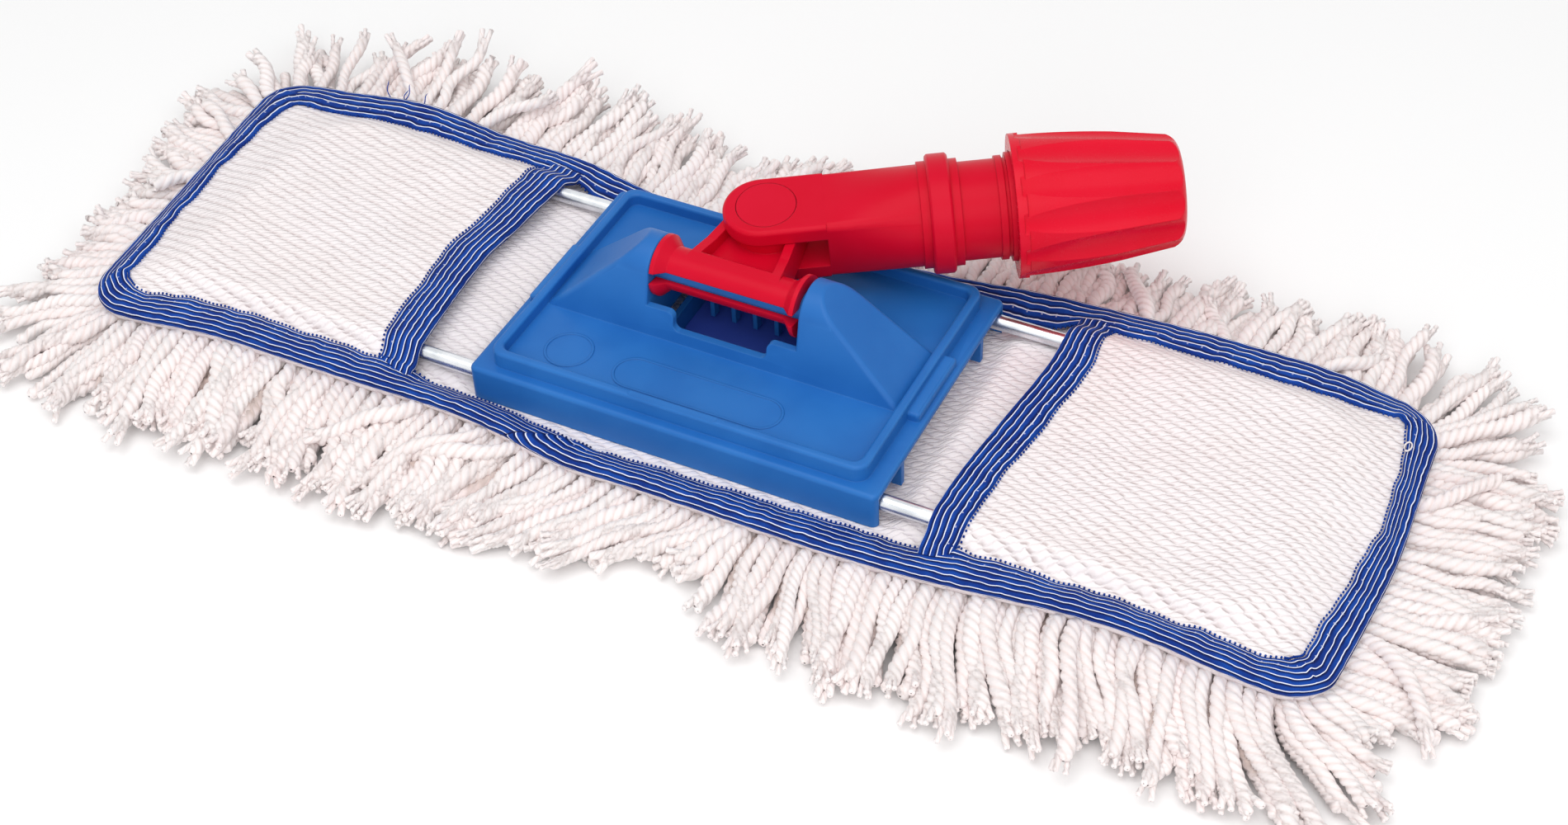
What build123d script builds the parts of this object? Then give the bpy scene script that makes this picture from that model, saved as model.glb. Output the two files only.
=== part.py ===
from build123d import *
from math import cos, pi, radians, sin
import os

os.makedirs("parts", exist_ok=True)

# Dust mop, 40 cm class. Millimetres and degrees. X runs along the mop, Y across it, Z up.
# The origin is on the floor, under the middle of the pad.

# Wire frame and pad
wire_frame_length = 400.0
pad_end_margin = 25.0
pad_side_margin = 16.5
pad_corner_radius = 16.0
yarn_height = 9.0
backing_thickness = 2.6
cloth_thickness = 1.6
heading_thickness = 1.2
tape_thickness = 0.9
binding_width = 11.0
stitch_room = 0.3

# Yarn
fringe_length = 39.0
fringe_tip_height = 2.5
fringe_row_gap = 2.0
strand_gap = 1.6
front_strands = 32
side_strands = 8
corner_strands = 4
row_count = 5
row_gap = 1.0
row_edge_room = 0.5
row_rounding = 3.0

# Pocket straps
strap_gap = 22.0
strap_width = 13.0
pocket_flare = 2.2
pocket_end_flare = 8.0

# Base plate
plate_length = 150.0
plate_width = 105.0
plate_corner_radius = 2.5
skirt_height = 13.5
skirt_thickness = 2.2
plate_wall = 2.4
plate_edge_rounding = 1.6
plate_seat_gap = 0.1
tray_step = 1.6
rim_height = 6.2
rim_width = 3.3
rim_inset_x = 6.0
rim_inset_y = 3.9
rim_corner_radius = 5.0
rim_rounding = 1.3
bump_length = 31.0
bump_width = 4.2
bump_height = 3.2

# Saddle and pivot bar
pivot_rise = 20.6
bar_radius = 5.5
saddle_radius = 10.6
saddle_spread = 5.2
saddle_wall = 2.2
saddle_sink = 0.3
saddle_rounding = 2.0
shoulder_gap = 55.4
shoulder_thickness = 5.3
shoulder_rounding = 0.8
opening_lip_drop = 8.4
opening_notch_drop = 14.8
opening_notch_inset = 10.3
opening_corner_radius = 2.4
comb_rib_count = 5
comb_rib_pitch = 8.2
comb_rib_thickness = 1.6
comb_rib_depth = 2.2
comb_rib_lift = 5.8
comb_rib_rise = 0.8

# Ribs under the plate, and the raised outlines on the tray
long_rib_inset = 20.2
rib_thickness = 2.2
long_rib_lift = 2.0
clip_rib_shares = (0.4, 0.83)
clip_lip_share = 0.84
clip_rib_lift = 3.4
clip_clearance = 0.15
well_rib_inset = 2.7
well_rib_height = 9.4
well_floor_thickness = 1.6
well_floor_gap = 0.1
mark_line_width = 0.8
mark_line_height = 0.3
mark_ring_radius = 8.5
mark_ring_inset = (28.0, 19.5)
mark_slot_length = 62.0
mark_slot_width = 15.0
mark_slot_inset = (77.0, 18.5)

# Wire bows
wire_diameter = 5.5
wire_bend_radius = 20.0
wire_skirt_clearance = 0.35
wire_under_flange = 3.65
wire_end_gap = 0.3

# Yoke
rest_tilt = 7.8
rest_swing = 61.3
yoke_arm = 26.8
yoke_side_play = 1.2
yoke_rest_shift = -0.9
sleeve_clearance = 0.06
sleeve_wall = 1.94
flare_height = 3.2
flare_cone = 3.2
flare_rim = 1.5
slot_width = 4.1
slot_angle = 164.0
web_root_half_width = 17.2
web_root_flat = 3.0
web_pocket_start = 3.6
web_thickness = 3.0
web_rib_width = 3.3
knuckle_wall = 5.4
knuckle_play = 0.3

# Knuckle pin
pin_radius = 7.0
pin_fit = 0.05
pin_head_overlap = 3.1
pin_head_height = 3.2
pin_head_gap = 0.2

# Handle socket, with lengths along the handle's axis from the pin
cheek_half_height = 12.3
cheek_thickness = 6.0
cheek_margin = 2.9
cheek_nose = 1.6
cheek_edge_rounding = 1.6
fork_floor_gap = 7.1
body_corner_radius = 2.6
body_length = 31.5
step_length = 3.0
collar_length = 7.5
collar_chamfer = 0.7
shoulder_length = 3.0
neck_length = 12.5
thread_ring_width = 2.4
thread_ring_gap = 1.2
collet_gap = 1.5
collet_length = 41.5
collet_taper = 18.0
collet_slot_length = 32.0
collet_slot_width = 2.4
handle_bore_radius = 12.1
handle_bore_length = 84.0
body_wall = 5.1
neck_wall = 4.6
step_height = 1.4
collar_height = 3.6
thread_heights = (0.9, 1.7)
collet_wall = 6.3
collet_end_wall = 2.8

# Clamp nut
nut_overlap = 2.3
nut_length = 56.3
nut_clearance = 0.5
nut_wall = 5.0
nut_mouth_step = 0.8
nut_end_wall = 5.7
nut_end_thickness = 7.5
nut_bulge = 1.1
nut_end_rounding = 5.0
nut_lip_length = 3.4
nut_lip_step = 0.5
flute_count = 12
flute_radius = 12.0
flute_start_depth = 0.2
flute_end_depth = 1.7

# Pad and plate sizes that follow from the sizes above
pad_length = wire_frame_length + 2 * pad_end_margin
pad_width = plate_width + 2 * pad_side_margin
cloth_top = yarn_height + backing_thickness
fringe_under_edge = binding_width - fringe_row_gap
binding_bottom = yarn_height - tape_thickness
binding_top = cloth_top + cloth_thickness + heading_thickness + stitch_room + tape_thickness
plate_bottom = cloth_top + plate_seat_gap
flange_top = plate_bottom + skirt_height
flange_under = flange_top - plate_wall
tray_floor = flange_top + tray_step
tray_under = tray_floor - plate_wall
rim_top = flange_top + rim_height
long_rib_half_spacing = plate_width / 2 - long_rib_inset
wire_radius = wire_diameter / 2
wire_y = plate_width / 2 - skirt_thickness - wire_skirt_clearance - wire_radius
wire_z = flange_under - wire_under_flange
wire_bow_end = wire_frame_length / 2 - wire_radius
wire_stop_half = rib_thickness / 2
strap_mouth = plate_length / 2 + strap_gap
pocket_room = tape_thickness + stitch_room
pocket_top = wire_z + wire_radius + pocket_room
pocket_top_half = wire_y + wire_radius + pocket_room
pocket_top_end = wire_bow_end + wire_radius + pocket_room

# Saddle and yoke sizes that follow
pivot_height = flange_top + pivot_rise
saddle_foot_half_width = saddle_radius + saddle_spread
saddle_top_half_length = shoulder_gap / 2 + shoulder_thickness
saddle_foot_half_length = plate_length / 2 - rim_inset_x - rim_width + saddle_sink
opening_notch_half_length = shoulder_gap / 2 - opening_notch_inset
well_rib_place = shoulder_gap / 2 - well_rib_inset
yoke_length = shoulder_gap - 2 * yoke_side_play
sleeve_radius = bar_radius + sleeve_clearance + sleeve_wall
flare_radius = sleeve_radius + flare_height
pin_head_radius = pin_radius + pin_head_overlap
knuckle_radius = pin_radius + knuckle_wall
knuckle_half_height = cheek_half_height - cheek_thickness - knuckle_play
cheek_radius = pin_head_radius + pin_head_gap + cheek_margin
web_end = yoke_arm - cheek_radius - cheek_nose - knuckle_play

# Socket and nut sizes that follow, as places along the handle's axis and radii about it
fork_depth = knuckle_radius + fork_floor_gap
body_end = fork_depth + body_length
step_end = body_end + step_length
collar_end = step_end + collar_length
shoulder_end = collar_end + shoulder_length
thread_start = shoulder_end + neck_length
second_thread_start = thread_start + thread_ring_width + thread_ring_gap
collet_start = second_thread_start + thread_ring_width + collet_gap
collet_end = collet_start + collet_length
collet_taper_start = collet_end - collet_taper
collet_slot_start = collet_end - collet_slot_length
handle_bore_start = collet_end - handle_bore_length
neck_radius = handle_bore_radius + neck_wall
body_radius = handle_bore_radius + body_wall
step_radius = neck_radius + step_height
collar_radius = neck_radius + collar_height
collet_radius = handle_bore_radius + collet_wall
collet_end_radius = handle_bore_radius + collet_end_wall
nut_start = collet_start - nut_overlap
nut_end = nut_start + nut_length
nut_big_radius = collet_radius + nut_clearance + nut_wall
nut_mouth_radius = handle_bore_radius + nut_mouth_step
nut_small_radius = nut_mouth_radius + nut_end_wall
nut_cone_end = nut_end - nut_end_thickness


# Small helpers
def block(length, width, radius, bottom, top):
    """A plate with rounded corners, centred on the Z axis."""
    return Pos(0, 0, bottom) * extrude(RectangleRounded(length, width, radius), top - bottom)


def span_box(x_low, x_high, y_low, y_high, z_low, z_high):
    """A box given by its limits."""
    centre = Pos((x_low + x_high) / 2, (y_low + y_high) / 2, (z_low + z_high) / 2)
    return centre * Box(x_high - x_low, y_high - y_low, z_high - z_low)


def turned(points):
    """A solid turned about X from (place along X, radius) points."""
    return revolve(make_face(Polyline(*points, close=True)), Axis.X)


def in_yoke(shape):
    """From the yoke's frame (X along the bar, Y along the arm) to the mop's."""
    return Pos(yoke_rest_shift, 0, pivot_height) * Rot(X=rest_tilt) * shape


def in_socket(shape):
    """From the socket's frame (X along the handle, Z along the pin) to the mop's."""
    return in_yoke(Pos(0, yoke_arm, 0) * Rot(Z=90 - rest_swing) * shape)


# Base plate
def saddle_profile(inset, foot_height):
    """The saddle across the mop: a round top with two steep flanks."""
    crown = Pos(0, pivot_height) * Circle(saddle_radius - inset)
    half = saddle_foot_half_width - inset
    foot = Line((-half, foot_height), (half, foot_height))
    return make_hull(crown.edges() + [foot])


def saddle_form(inset, foot_height, x_low, x_high):
    """The saddle between two places along X."""
    prism = extrude(Plane.YZ * saddle_profile(inset, foot_height), x_high - x_low)
    return Pos(x_low, 0, 0) * prism


def saddle_ends(inset):
    """What the slanting ends leave of the saddle, seen from the front."""
    top = pivot_height + saddle_radius
    slope = (saddle_foot_half_length - saddle_top_half_length) / (top - tray_floor)
    foot = saddle_foot_half_length - inset + slope * (tray_floor - flange_under)
    crown = saddle_top_half_length - inset
    points = [(-foot, flange_under), (foot, flange_under), (crown, top), (-crown, top)]
    return extrude(Plane.XZ * make_face(Polyline(*points, close=True)), plate_width, both=True)


def opening_cut():
    """The window between the shoulders, with its notch, cut right through from front to back."""
    half = shoulder_gap / 2
    lip = pivot_height - opening_lip_drop
    notch = pivot_height - opening_notch_drop
    above = pivot_height + 3 * saddle_radius
    step = opening_notch_half_length
    points = [(-half, above), (-half, lip), (-step, lip), (-step, notch)]
    points += [(step, notch), (step, lip), (half, lip), (half, above)]
    window = make_face(Polyline(*points, close=True))
    corners = [v for v in window.vertices() if v.Y < lip + 1 and abs(v.X) < half - 1]
    window = fillet(corners, opening_corner_radius)
    return extrude(Plane.XZ * window, plate_width, both=True)


def comb_ribs():
    """Short upright ribs at the foot of the well's two long walls, hanging below the tray."""
    ribs = []
    bottom = plate_bottom + comb_rib_lift
    inner = saddle_foot_half_width - saddle_wall - comb_rib_depth
    outer = saddle_foot_half_width - saddle_wall / 2
    for i in range(comb_rib_count):
        x = (i - (comb_rib_count - 1) / 2) * comb_rib_pitch
        low, high = x - comb_rib_thickness / 2, x + comb_rib_thickness / 2
        ribs.append(span_box(low, high, inner, outer, bottom, tray_floor + comb_rib_rise))
        ribs.append(span_box(low, high, -outer, -inner, bottom, tray_floor + comb_rib_rise))
    return ribs


def under_ribs():
    """Two long ribs, the snap ribs that hold the wires, and the stop between the wire ends."""
    ribs = []
    root = flange_under + plate_wall / 2
    inner = plate_width / 2 - skirt_thickness / 2
    clip_bottom = plate_bottom + clip_rib_lift
    for side in (-1, 1):
        y = side * long_rib_half_spacing
        half = plate_length / 2
        low, high = y - rib_thickness / 2, y + rib_thickness / 2
        ribs.append(span_box(-half, half, low, high, plate_bottom + long_rib_lift, root))
        near, far = sorted((y, side * inner))
        ribs.append(span_box(-wire_stop_half, wire_stop_half, near, far, clip_bottom, root))
        groove = Pos(0, side * wire_y, wire_z) * Rot(Y=90)
        groove *= Cylinder(wire_radius + clip_clearance, plate_length)
        mouth = Pos(0, side * wire_y, wire_z - wire_diameter)
        mouth *= Box(plate_length, clip_lip_share * wire_diameter, 2 * wire_diameter)
        for share in clip_rib_shares:
            for x in (-share * half, share * half):
                rib = span_box(x - rib_thickness / 2, x + rib_thickness / 2, near, far, clip_bottom, root)
                ribs.append(rib - groove - mouth)
    return ribs


def floor_marks():
    """The raised outlines on the tray floor: a ring and a long rounded frame, both empty."""
    slot = SlotOverall(mark_slot_length, mark_slot_width)
    slot -= SlotOverall(mark_slot_length - 2 * mark_line_width, mark_slot_width - 2 * mark_line_width)
    ring = Circle(mark_ring_radius) - Circle(mark_ring_radius - mark_line_width)
    corner = Pos(-plate_length / 2, -plate_width / 2)
    marks = corner * Pos(*mark_slot_inset) * slot + corner * Pos(*mark_ring_inset) * ring
    return Pos(0, 0, tray_floor) * extrude(marks, mark_line_height)


def well_ribs():
    """Two low cross ribs in the well, between the long ribs' inner faces."""
    reach = long_rib_half_spacing
    bottom = plate_bottom + long_rib_lift
    ribs = []
    for x in (-well_rib_place, well_rib_place):
        low, high = x - rib_thickness / 2, x + rib_thickness / 2
        ribs.append(span_box(low, high, -reach, reach, bottom, bottom + well_rib_height))
    return ribs


def base_plate():
    shell = block(plate_length, plate_width, plate_corner_radius, plate_bottom, flange_top)
    shell = fillet(shell.edges().group_by(Axis.Z)[-1], plate_edge_rounding)
    room = plate_width / 2 - skirt_thickness
    shell -= span_box(-plate_length, plate_length, -room, room, 0, flange_under)

    rim_length = plate_length - 2 * rim_inset_x
    rim_span = plate_width - 2 * rim_inset_y
    tray_length = rim_length - 2 * rim_width
    tray_span = rim_span - 2 * rim_width
    tray_radius = rim_corner_radius - rim_width / 2
    rim = block(rim_length, rim_span, rim_corner_radius, flange_under, rim_top)
    rim -= block(tray_length, tray_span, tray_radius, 0, 2 * rim_top)
    rim = fillet(rim.edges().group_by(Axis.Z)[-1], rim_rounding)
    floor = block(tray_length, tray_span, tray_radius, tray_under, tray_floor)
    bump_end = rim_length / 2 + bump_width
    bump = block(2 * bump_end, bump_length, rim_rounding, flange_under, flange_top + bump_height)
    bump = fillet(bump.edges().group_by(Axis.Z)[-1], rim_rounding)
    bump -= block(rim_length - rim_width, tray_span, tray_radius, 0, 2 * rim_top)

    half = shoulder_gap / 2
    end = plate_length / 2
    saddle = saddle_form(0, tray_under, -end, end) & saddle_ends(0)
    slanted = [e for e in saddle.edges() if e.center().Z > tray_floor and abs((e % 0.5).X) < 0.99]
    saddle = fillet(slanted, saddle_rounding)
    hollow = saddle_form(saddle_wall, tray_under - plate_wall, -end, end)
    well = hollow & span_box(-half, half, -plate_width, plate_width, 0, 2 * pivot_height)
    inner_wall = half + saddle_wall
    right = hollow & saddle_ends(saddle_wall)
    right &= span_box(inner_wall, plate_length, -plate_width, plate_width, 0, 2 * pivot_height)

    plate = shell + rim + bump + floor + saddle
    plate -= block(tray_length, tray_span, tray_radius, 0, tray_under)
    plate = plate - well - right - mirror(right, about=Plane.YZ) - opening_cut()
    crowns = []
    for edge in plate.edges().filter_by(GeomType.CIRCLE):
        if abs(edge.radius - saddle_radius) < 0.01 and abs(abs(edge.center().X) - half) < 0.01:
            crowns.append(edge)
    plate = fillet(crowns, shoulder_rounding)
    bar = Pos(0, 0, pivot_height) * Rot(Y=90) * Cylinder(bar_radius, shoulder_gap + saddle_wall)
    plate += bar
    plate = plate + comb_ribs() + under_ribs() + well_ribs() + floor_marks()
    return plate


def well_floor():
    """The flat plate that closes the well from below, let in between the ribs."""
    end = well_rib_place - rib_thickness / 2 - well_floor_gap
    side = long_rib_half_spacing - rib_thickness / 2 - well_floor_gap
    bottom = plate_bottom + long_rib_lift
    return span_box(-end, end, -side, side, bottom, bottom + well_floor_thickness)


# Wire bows
def wire_bow():
    """The right bow: one wire bent round, with both ends against the stop under the plate."""
    start = wire_stop_half + wire_end_gap
    corners = [(start, -wire_y, wire_z), (wire_bow_end, -wire_y, wire_z)]
    corners += [(wire_bow_end, wire_y, wire_z), (start, wire_y, wire_z)]
    path = FilletPolyline(*corners, radius=wire_bend_radius)
    section = Plane(origin=path @ 0, z_dir=path % 0) * Circle(wire_radius)
    return sweep(section, path=path)


# Yoke
def swivel_yoke():
    half = yoke_length / 2
    foot = half - flare_rim
    throat = foot - flare_cone
    outline = [(-half, 0), (-half, flare_radius), (-foot, flare_radius), (-throat, sleeve_radius)]
    outline += [(throat, sleeve_radius), (foot, flare_radius), (half, flare_radius), (half, 0)]
    sleeve = turned(outline)

    knuckle = Pos(0, yoke_arm) * Circle(knuckle_radius)
    root = Line((-web_root_half_width, 0), (web_root_half_width, 0))
    plan = make_hull(knuckle.edges() + [root])
    side = [(0, -sleeve_radius), (web_root_flat, -sleeve_radius), (web_end, -knuckle_half_height)]
    side += [(2 * yoke_arm, -knuckle_half_height), (2 * yoke_arm, knuckle_half_height)]
    side += [(web_end, knuckle_half_height), (web_root_flat, sleeve_radius), (0, sleeve_radius)]
    profile = extrude(Plane.YZ * make_face(Polyline(*side, close=True)), yoke_length, both=True)
    arm = extrude(plan, 2 * sleeve_radius, both=True) & profile
    pocket = offset(plan, -web_rib_width) - knuckle
    pocket -= Pos(0, web_pocket_start / 2) * Rectangle(yoke_length, web_pocket_start)
    for side_sign in (-1, 1):
        cut = extrude(pocket, side_sign * 2 * sleeve_radius)
        arm -= Pos(0, 0, side_sign * web_thickness / 2) * cut

    yoke = sleeve + arm
    yoke -= Rot(Y=90) * Cylinder(bar_radius + sleeve_clearance, 2 * yoke_length)
    slot = Pos(0, 2 * sleeve_radius, 0) * Box(2 * yoke_length, 4 * sleeve_radius, slot_width)
    yoke -= Rot(X=slot_angle) * slot
    yoke -= Pos(0, yoke_arm, 0) * Cylinder(pin_radius + pin_fit, 4 * sleeve_radius)
    return in_yoke(yoke)


# Handle socket
def handle_socket():
    plan = Pos(-cheek_nose, 0) * Circle(cheek_radius)
    length = fork_depth + cheek_nose
    plan += Pos(fork_depth - length / 2, 0) * Rectangle(length, 2 * cheek_radius)
    fork = extrude(plan, cheek_half_height, both=True)
    fork = fillet(fork.edges().filter_by(GeomType.CIRCLE), cheek_edge_rounding)
    slot_half = cheek_half_height - cheek_thickness
    fork -= Pos(fork_depth / 2, 0, 0) * Box(4 * fork_depth, 4 * cheek_radius, 2 * slot_half)

    square = RectangleRounded(2 * cheek_radius, 2 * cheek_half_height, body_corner_radius)
    start_plane = Plane(origin=(fork_depth, 0, 0), x_dir=(0, 1, 0), z_dir=(1, 0, 0))
    end_plane = Plane(origin=(body_end, 0, 0), x_dir=(0, 1, 0), z_dir=(1, 0, 0))
    body = loft([start_plane * square, end_plane * Circle(body_radius)], ruled=True)

    outline = [(body_end, 0), (body_end, step_radius), (step_end, step_radius)]
    outline += [(step_end, collar_radius - collar_chamfer), (step_end + collar_chamfer, collar_radius)]
    outline += [(collar_end - collar_chamfer, collar_radius), (collar_end, collar_radius - collar_chamfer)]
    outline += [(collar_end, step_radius), (shoulder_end, step_radius), (shoulder_end, neck_radius)]
    for low, height in zip((thread_start, second_thread_start), thread_heights):
        high = low + thread_ring_width
        radius = neck_radius + height
        outline += [(low, neck_radius), (low, radius), (high, radius), (high, neck_radius)]
    outline += [(collet_start, neck_radius), (collet_start, collet_radius)]
    outline += [(collet_taper_start, collet_radius)]
    outline += [(collet_end, collet_end_radius), (collet_end, 0)]
    tube = turned(outline)

    socket = fork + body + tube
    depth = collet_end - handle_bore_start
    bore = Pos(handle_bore_start + depth / 2, 0, 0) * Rot(Y=90) * Cylinder(handle_bore_radius, depth)
    socket -= bore
    slit_length = collet_end - collet_slot_start
    slit = Pos(collet_slot_start + slit_length / 2, 0, 0)
    slit *= Box(slit_length, 4 * collet_radius, collet_slot_width)
    socket = socket - slit - Rot(X=90) * slit
    socket -= Cylinder(pin_radius + pin_fit, 4 * cheek_half_height)
    head_bottom = cheek_half_height - pin_head_height
    socket -= Pos(0, 0, head_bottom + cheek_half_height) * Cylinder(
        pin_head_radius + pin_head_gap, 2 * cheek_half_height
    )
    return in_socket(socket)


# Knuckle pin
def knuckle_pin():
    shank = Cylinder(pin_radius, 2 * cheek_half_height)
    head = Pos(0, 0, cheek_half_height - pin_head_height / 2) * Cylinder(pin_head_radius, pin_head_height)
    pin = shank + head
    tip = pin.edges().filter_by(GeomType.CIRCLE).group_by(Axis.Z)[0]
    return in_socket(chamfer(tip, pin_fit * 10))


# Clamp nut
def nut_radius_at(place):
    """The nut's outer radius along its length: a slightly bulging taper."""
    share = (place - nut_start) / nut_length
    straight = nut_big_radius + (nut_small_radius - nut_big_radius) * share
    return straight + nut_bulge * sin(pi * share)


def clamp_nut():
    turn_in = nut_end - nut_end_rounding
    middle = (nut_start + nut_lip_length + turn_in) / 2
    lip_end = nut_start + nut_lip_length
    side = ThreePointArc(
        (lip_end, nut_radius_at(lip_end)), (middle, nut_radius_at(middle)), (turn_in, nut_radius_at(turn_in))
    )
    end_radius = nut_radius_at(turn_in) - nut_end_rounding
    nose = TangentArc(side @ 1, (nut_end, end_radius), tangent=side % 1)
    lip = nut_big_radius + nut_lip_step
    inner = collet_radius + nut_clearance
    rest = [(nut_end, end_radius), (nut_end, nut_mouth_radius), (nut_cone_end, nut_mouth_radius)]
    rest += [(nut_cone_end, collet_end_radius + nut_clearance), (collet_taper_start, inner)]
    rest += [(nut_start, inner), (nut_start, lip), (lip_end, lip), (lip_end, nut_radius_at(lip_end))]
    nut = revolve(make_face([side, nose, Polyline(*rest)]), Axis.X)

    # Each flute is a round cutter that leans in towards the small end
    start = Vector(lip_end, nut_radius_at(lip_end) - flute_start_depth + flute_radius)
    finish = Vector(nut_end, nut_radius_at(nut_end) - flute_end_depth + flute_radius)
    lean = finish - start
    cutter = Plane(origin=start, z_dir=lean) * Cylinder(
        flute_radius, 2 * lean.length, align=(Align.CENTER, Align.CENTER, Align.MIN)
    )
    return in_socket(nut - [Rot(X=360 * i / flute_count) * cutter for i in range(flute_count)])


# Cloth of the pad
def pad_block(inset, bottom, top):
    """The pad's outline, drawn in by an inset."""
    radius = pad_corner_radius - min(inset, pad_corner_radius - 1)
    return block(pad_length - 2 * inset, pad_width - 2 * inset, radius, bottom, top)


def pad_backing():
    return pad_block(tape_thickness + stitch_room, yarn_height, cloth_top)


def edge_binding():
    """Tape folded round the pad's edge, open towards the middle."""
    tape = pad_block(0, binding_bottom, binding_top)
    tape -= pad_block(tape_thickness, yarn_height, binding_top - tape_thickness)
    return tape - pad_block(binding_width, 0, 2 * binding_top)


def pocket_form(grow):
    """The right pocket's space, or its outside when it grows by the cloth."""
    start = -strap_width
    base_half = pocket_top_half + pocket_flare + grow
    base_end = pocket_top_end + pocket_end_flare + grow
    top_half = pocket_top_half + grow
    top_end = pocket_top_end + grow
    base = Pos((start + base_end) / 2, 0, cloth_top) * Rectangle(base_end - start, 2 * base_half)
    top = Pos((start + top_end) / 2, 0, pocket_top + grow) * Rectangle(top_end - start, 2 * top_half)
    return loft([base, top], ruled=True)


def past(x_low, x_high):
    """Everything between two places along X."""
    return span_box(x_low, x_high, -pad_width, pad_width, 0, 4 * pocket_top)


def pocket_shell():
    return (pocket_form(cloth_thickness) - pocket_form(0)) & past(strap_mouth, pad_length)


def pocket_hem_plate():
    """The panel's flat edge, sewn down under the binding on three sides."""
    inset = tape_thickness + stitch_room
    plate = pad_block(inset, cloth_top, cloth_top + cloth_thickness) & past(strap_mouth, pad_length)
    return plate - (pocket_form(0) & past(0, pad_length))


def pocket_panel():
    return pocket_shell() + pocket_hem_plate()


def pocket_strap():
    """Tape folded over the mouth of the pocket."""
    strap = pocket_form(cloth_thickness + tape_thickness) - pocket_form(-tape_thickness)
    strap &= past(strap_mouth - tape_thickness, strap_mouth + strap_width)
    return strap - pocket_shell() - pocket_hem_plate()


# Yarn
def uneven(index):
    """Strand lengths, as shares of the fringe length: no two neighbours end alike."""
    return 0.9 + 0.1 * cos(2.4 * index)


def comb(stations, inner_edge):
    """A flat comb: each station is two root points with the way each side runs out."""
    points = []
    for index, (root_a, root_b, out_a, out_b) in enumerate(stations):
        reach = fringe_length * uneven(index)
        points += [root_a, root_a + out_a * reach, root_b + out_b * reach, root_b]
    return make_face(Polyline(*points, *inner_edge, close=True))


def fringe_form():
    """The space that the fringe fills: flat under the binding, then falling to the tips."""
    tips = block(
        pad_length + 2 * fringe_length, pad_width + 2 * fringe_length,
        pad_corner_radius + fringe_length, 0, fringe_tip_height,
    )
    low = Pos(0, 0, fringe_tip_height) * RectangleRounded(
        pad_length + 2 * fringe_length, pad_width + 2 * fringe_length, pad_corner_radius + fringe_length
    )
    high = Pos(0, 0, binding_bottom) * RectangleRounded(pad_length, pad_width, pad_corner_radius)
    return tips + loft([low, high], ruled=True)


def straight_stations(start, step, count, out):
    """Strands side by side along a straight edge."""
    half = step.normalized() * ((step.length - strand_gap) / 2)
    middles = [start + step * (i + 0.5) for i in range(count)]
    return [(m - half, m + half, out, out) for m in middles]


def corner_stations(centre, first_angle):
    """Strands that fan out round a corner of the pad."""
    pitch = 90.0 / corner_strands
    gap = strand_gap / pad_corner_radius * 180 / pi
    stations = []
    for i in range(corner_strands):
        ways = []
        for angle in (first_angle + pitch * i + gap / 2, first_angle + pitch * (i + 1) - gap / 2):
            ways.append(Vector(cos(radians(angle)), sin(radians(angle))))
        stations.append((centre + ways[0] * pad_corner_radius, centre + ways[1] * pad_corner_radius, *ways))
    return stations


def fringe_front():
    span = pad_length - 2 * pad_corner_radius
    start = Vector(-span / 2, -pad_width / 2)
    stations = straight_stations(start, Vector(span / front_strands, 0), front_strands, Vector(0, -1))
    end = (span - strand_gap) / 2
    inner_y = fringe_under_edge - pad_width / 2
    return extrude(comb(stations, [(end, inner_y), (-end, inner_y)]), binding_bottom) & fringe_form()


def fringe_right():
    span = pad_width - 2 * pad_corner_radius
    corner_x = pad_length / 2 - pad_corner_radius
    stations = corner_stations(Vector(corner_x, -span / 2), -90)
    start = Vector(pad_length / 2, -span / 2)
    stations += straight_stations(start, Vector(0, span / side_strands), side_strands, Vector(1, 0))
    stations += corner_stations(Vector(corner_x, span / 2), 0)
    end = corner_x + strand_gap / 2
    inner_x = pad_length / 2 - fringe_under_edge
    inner_y = pad_width / 2 - fringe_under_edge
    inner_edge = [(end, inner_y), (inner_x, inner_y), (inner_x, -inner_y), (end, -inner_y)]
    return extrude(comb(stations, inner_edge), binding_bottom) & fringe_form()


def yarn_row(index):
    """One sewn row of yarn under the pad."""
    room = pad_width - 2 * (binding_width + row_edge_room)
    pitch = room / row_count
    width = pitch - row_gap
    length = pad_length - 2 * (binding_width + row_edge_room)
    row = Pos(0, 0, yarn_height / 2) * Box(length, width, yarn_height)
    row = fillet(row.edges().group_by(Axis.Z)[0], row_rounding)
    inside = pad_block(binding_width + row_edge_room, 0, yarn_height)
    return Pos(0, (index - (row_count - 1) / 2) * pitch, 0) * row & inside


nodes = {
    "base_plate": base_plate(),
    "well_floor": well_floor(),
    "wire_bow_right": wire_bow(),
    "swivel_yoke": swivel_yoke(),
    "handle_socket": handle_socket(),
    "knuckle_pin": knuckle_pin(),
    "clamp_nut": clamp_nut(),
    "pad_backing": pad_backing(),
    "edge_binding": edge_binding(),
    "pocket_panel_right": pocket_panel(),
    "pocket_strap_right": pocket_strap(),
    "fringe_front": fringe_front(),
    "fringe_right": fringe_right(),
}
for pair in ("wire_bow", "pocket_panel", "pocket_strap", "fringe"):
    nodes[pair + "_left"] = mirror(nodes[pair + "_right"], about=Plane.YZ)
nodes["fringe_back"] = mirror(nodes["fringe_front"], about=Plane.XZ)
for number in range(row_count):
    nodes[f"yarn_row_{number + 1}"] = yarn_row(number)

for name, shape in nodes.items():
    export_step(shape, f"parts/{name}.step")
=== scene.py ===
"""Looks of the dust mop: plastic and wire from the frame, with cloth, tape and yarn built round them."""

import bpy
import numpy as np
from mathutils import Matrix, Vector


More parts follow.
